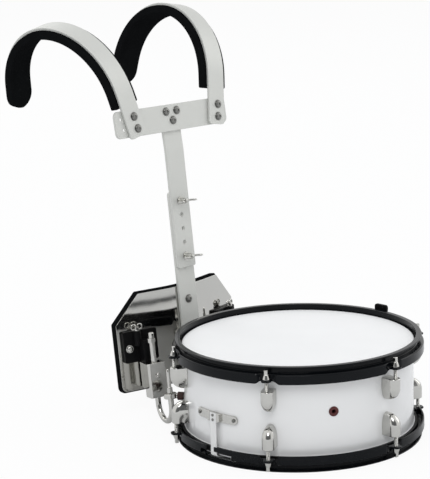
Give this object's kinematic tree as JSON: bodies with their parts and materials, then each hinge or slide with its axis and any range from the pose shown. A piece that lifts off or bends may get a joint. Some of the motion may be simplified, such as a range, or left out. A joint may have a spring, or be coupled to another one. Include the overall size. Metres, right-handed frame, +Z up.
{
  "type": "marching snare drum with shoulder carrier",
  "caption": "Shallow marching snare drum with lugs, flanged hoops and a throw-off, hung by two J hooks on a carrier with a belly plate, a telescoping bar and two padded shoulder yokes.",
  "frame": {"origin": "middle of the bounding box's base: the drum stands on its lower hoop at z = 0", "axes": "+Z up along the drum axis, +Y from the drum towards the player, +X towards the player's left, where the throw-off is"},
  "size_m": [0.3924, 0.7334, 0.6426],
  "materials": {
    "shell_wrap": "glossy white wrap",
    "head_film": "smooth white film",
    "hoop_enamel": "gloss black enamel",
    "chrome_plate": "bright chrome plate",
    "bar_aluminium": "satin, lightly brushed",
    "belly_mirror": "polished sheet",
    "foam_pad": "matte black closed-cell foam",
    "black_metal": "satin black",
    "strap_web": "woven tape, off-white",
    "snare_steel": "bright wire",
    "vent_metal": "dark red-brown enamel"
  },
  "bodies": {
    "drum": {"shell": "shell_wrap", "vent_grommet": "vent_metal", "batter_head": "head_film", "snare_head": "head_film", "batter_hoop": "hoop_enamel", "snare_hoop": "hoop_enamel", "lug_upper_1": "chrome_plate", "lug_lower_1": "chrome_plate", "lug_upper_2": "chrome_plate", "lug_lower_2": "chrome_plate", "lug_upper_3": "chrome_plate", "lug_lower_3": "chrome_plate", "lug_upper_4": "chrome_plate", "lug_lower_4": "chrome_plate", "lug_upper_5": "chrome_plate", "lug_lower_5": "chrome_plate", "lug_upper_6": "chrome_plate", "lug_lower_6": "chrome_plate", "snare_wires": "snare_steel", "strainer_base": "chrome_plate", "strap_strainer": "strap_web", "butt_plate": "chrome_plate", "strap_butt": "strap_web", "eye_bolt_right": "chrome_plate", "eye_bolt_left": "chrome_plate"},
    "carrier": {"lower_bar": "bar_aluminium", "belly_plate": "belly_mirror", "belly_pad": "foam_pad", "mounting_block_left": "black_metal", "mounting_block_right": "black_metal", "hook_housing_left": "chrome_plate", "hook_housing_right": "chrome_plate"},
    "upper_frame": {"upper_bar": "bar_aluminium", "crossbar": "bar_aluminium", "yoke_left": "bar_aluminium", "yoke_right": "bar_aluminium", "shoulder_pad_left": "foam_pad", "shoulder_pad_right": "foam_pad"},
    "tension_rod_upper_1": {"tension_rod_upper_1": "chrome_plate"},
    "tension_rod_lower_1": {"tension_rod_lower_1": "chrome_plate"},
    "tension_rod_upper_2": {"tension_rod_upper_2": "chrome_plate"},
    "tension_rod_lower_2": {"tension_rod_lower_2": "chrome_plate"},
    "tension_rod_upper_3": {"tension_rod_upper_3": "chrome_plate"},
    "tension_rod_lower_3": {"tension_rod_lower_3": "chrome_plate"},
    "tension_rod_upper_4": {"tension_rod_upper_4": "chrome_plate"},
    "tension_rod_lower_4": {"tension_rod_lower_4": "chrome_plate"},
    "tension_rod_upper_5": {"tension_rod_upper_5": "chrome_plate"},
    "tension_rod_lower_5": {"tension_rod_lower_5": "chrome_plate"},
    "tension_rod_upper_6": {"tension_rod_upper_6": "chrome_plate"},
    "tension_rod_lower_6": {"tension_rod_lower_6": "chrome_plate"},
    "strainer_lever": {"strainer_lever": "black_metal"},
    "strainer_carriage": {"strainer_carriage": "chrome_plate"},
    "strainer_knob": {"strainer_knob": "chrome_plate"},
    "wing_bolt_upper": {"wing_bolt_upper": "chrome_plate"},
    "wing_bolt_lower": {"wing_bolt_lower": "chrome_plate"},
    "hook_left": {"hook_left": "chrome_plate"},
    "hook_right": {"hook_right": "chrome_plate"},
    "wing_screw_left": {"wing_screw_left": "chrome_plate"},
    "wing_screw_right": {"wing_screw_right": "chrome_plate"}
  },
  "joints": [
    {"name": "carrier_lift", "type": "slide", "parent": "drum", "child": "carrier", "axis": [0, 0.1063, 0.9943], "range_m": [0, 0.009]},
    {"name": "height_slide", "type": "slide", "parent": "carrier", "child": "upper_frame", "axis": [0, 0.1063, 0.9943], "range_m": [-0.013, 0.004]},
    {"name": "wing_bolt_lower_turn", "type": "hinge", "parent": "upper_frame", "child": "wing_bolt_lower", "pos_m": [-0.0032, 0.09385, 0.24473], "axis": [0, -0.9943, 0.1063], "continuous": true},
    {"name": "wing_bolt_upper_turn", "type": "hinge", "parent": "upper_frame", "child": "wing_bolt_upper", "pos_m": [-0.0032, 0.1035, 0.33501], "axis": [0, -0.9943, 0.1063], "continuous": true},
    {"name": "hook_right_height", "type": "slide", "parent": "carrier", "child": "hook_right", "axis": [0, 0.1063, 0.9943], "range_m": [0, 0.007]},
    {"name": "wing_screw_right_turn", "type": "hinge", "parent": "carrier", "child": "wing_screw_right", "pos_m": [-0.10753, 0.0929, 0.13923], "axis": [0, 0.1063, 0.9943], "continuous": true},
    {"name": "hook_left_height", "type": "slide", "parent": "carrier", "child": "hook_left", "axis": [0, 0.1063, 0.9943], "range_m": [0, 0.007]},
    {"name": "wing_screw_left_turn", "type": "hinge", "parent": "carrier", "child": "wing_screw_left", "pos_m": [0.10113, 0.0929, 0.13923], "axis": [0, 0.1063, 0.9943], "continuous": true},
    {"name": "throw_off", "type": "hinge", "parent": "drum", "child": "strainer_lever", "pos_m": [0.1888, -0.16265, 0.10998], "axis": [0, 1, 0], "range_deg": [0, 100]},
    {"name": "throw_off_carriage", "type": "slide", "parent": "drum", "child": "strainer_carriage", "axis": [0, 0, -1], "range_m": [0, 0.004]},
    {"name": "snare_tension", "type": "hinge", "parent": "strainer_carriage", "child": "strainer_knob", "pos_m": [0.1853, -0.16265, 0.09003], "axis": [0, 0, 1], "continuous": true},
    {"name": "tension_rod_upper_1_turn", "type": "hinge", "parent": "drum", "child": "tension_rod_upper_1", "pos_m": [0.16611, -0.0649, 0.13], "axis": [0, 0, 1], "continuous": true},
    {"name": "tension_rod_lower_1_turn", "type": "hinge", "parent": "drum", "child": "tension_rod_lower_1", "pos_m": [0.16611, -0.0649, 0.028], "axis": [0, 0, -1], "continuous": true},
    {"name": "tension_rod_upper_2_turn", "type": "hinge", "parent": "drum", "child": "tension_rod_upper_2", "pos_m": [-0.0032, 0.03285, 0.13], "axis": [0, 0, 1], "continuous": true},
    {"name": "tension_rod_lower_2_turn", "type": "hinge", "parent": "drum", "child": "tension_rod_lower_2", "pos_m": [-0.0032, 0.03285, 0.028], "axis": [0, 0, -1], "continuous": true},
    {"name": "tension_rod_upper_3_turn", "type": "hinge", "parent": "drum", "child": "tension_rod_upper_3", "pos_m": [-0.17251, -0.0649, 0.13], "axis": [0, 0, 1], "continuous": true},
    {"name": "tension_rod_lower_3_turn", "type": "hinge", "parent": "drum", "child": "tension_rod_lower_3", "pos_m": [-0.17251, -0.0649, 0.028], "axis": [0, 0, -1], "continuous": true},
    {"name": "tension_rod_upper_4_turn", "type": "hinge", "parent": "drum", "child": "tension_rod_upper_4", "pos_m": [-0.17251, -0.2604, 0.13], "axis": [0, 0, 1], "continuous": true},
    {"name": "tension_rod_lower_4_turn", "type": "hinge", "parent": "drum", "child": "tension_rod_lower_4", "pos_m": [-0.17251, -0.2604, 0.028], "axis": [0, 0, -1], "continuous": true},
    {"name": "tension_rod_upper_5_turn", "type": "hinge", "parent": "drum", "child": "tension_rod_upper_5", "pos_m": [-0.0032, -0.35815, 0.13], "axis": [0, 0, 1], "continuous": true},
    {"name": "tension_rod_lower_5_turn", "type": "hinge", "parent": "drum", "child": "tension_rod_lower_5", "pos_m": [-0.0032, -0.35815, 0.028], "axis": [0, 0, -1], "continuous": true},
    {"name": "tension_rod_upper_6_turn", "type": "hinge", "parent": "drum", "child": "tension_rod_upper_6", "pos_m": [0.16611, -0.2604, 0.13], "axis": [0, 0, 1], "continuous": true},
    {"name": "tension_rod_lower_6_turn", "type": "hinge", "parent": "drum", "child": "tension_rod_lower_6", "pos_m": [0.16611, -0.2604, 0.028], "axis": [0, 0, -1], "continuous": true}
  ],
  "couplings": [
    {"joint": "throw_off_carriage", "follows": "throw_off", "m_per_rad": 0.0022895}
  ]
}
